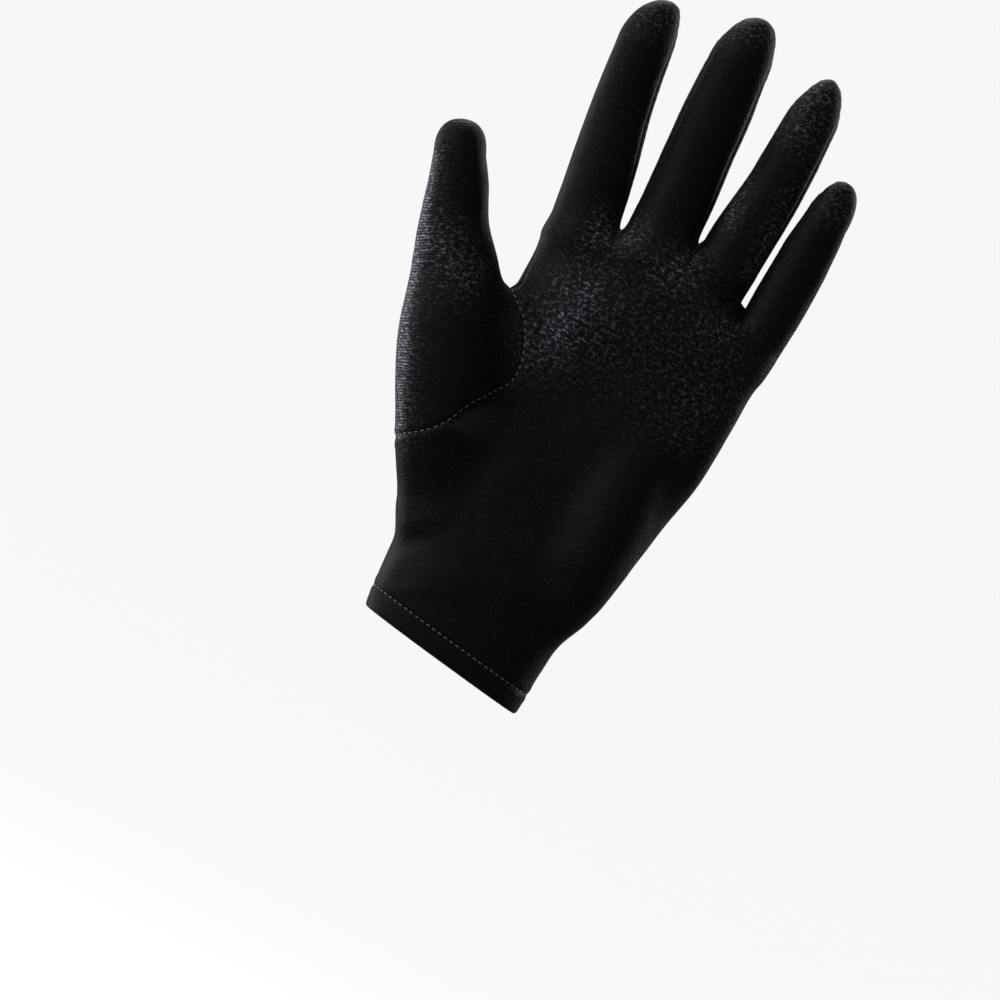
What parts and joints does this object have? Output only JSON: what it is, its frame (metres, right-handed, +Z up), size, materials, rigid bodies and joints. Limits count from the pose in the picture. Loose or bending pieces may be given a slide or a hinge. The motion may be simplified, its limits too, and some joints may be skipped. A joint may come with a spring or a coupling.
{
  "type": "wrist length dress glove",
  "caption": "Wrist length satin dress glove for the left hand, fingers spread, hollow and open at the wrist, with a set-in thumb and fourchettes.",
  "frame": {"origin": "middle of the wrist opening, at the hem's edge", "axes": "+Z up the hand to the middle fingertip, +X to the little finger, +Y out of the back of the hand, so the palm faces -Y"},
  "size_m": [0.1272, 0.0405, 0.2269],
  "materials": {
    "satin": "black stretch satin with a soft speckled sheen",
    "strip_satin": "the same black stretch satin, cut across for the strips between the fingers",
    "hem_satin": "black stretch satin turned up and stitched, a little duller"
  },
  "bodies": {
    "root": {"palm_panel": "satin", "back_panel": "satin", "thumb_piece": "satin", "fourchette_index_middle": "strip_satin", "fourchette_middle_ring": "strip_satin", "fourchette_ring_little": "strip_satin", "cuff_hem": "hem_satin"}
  },
  "joints": []
}
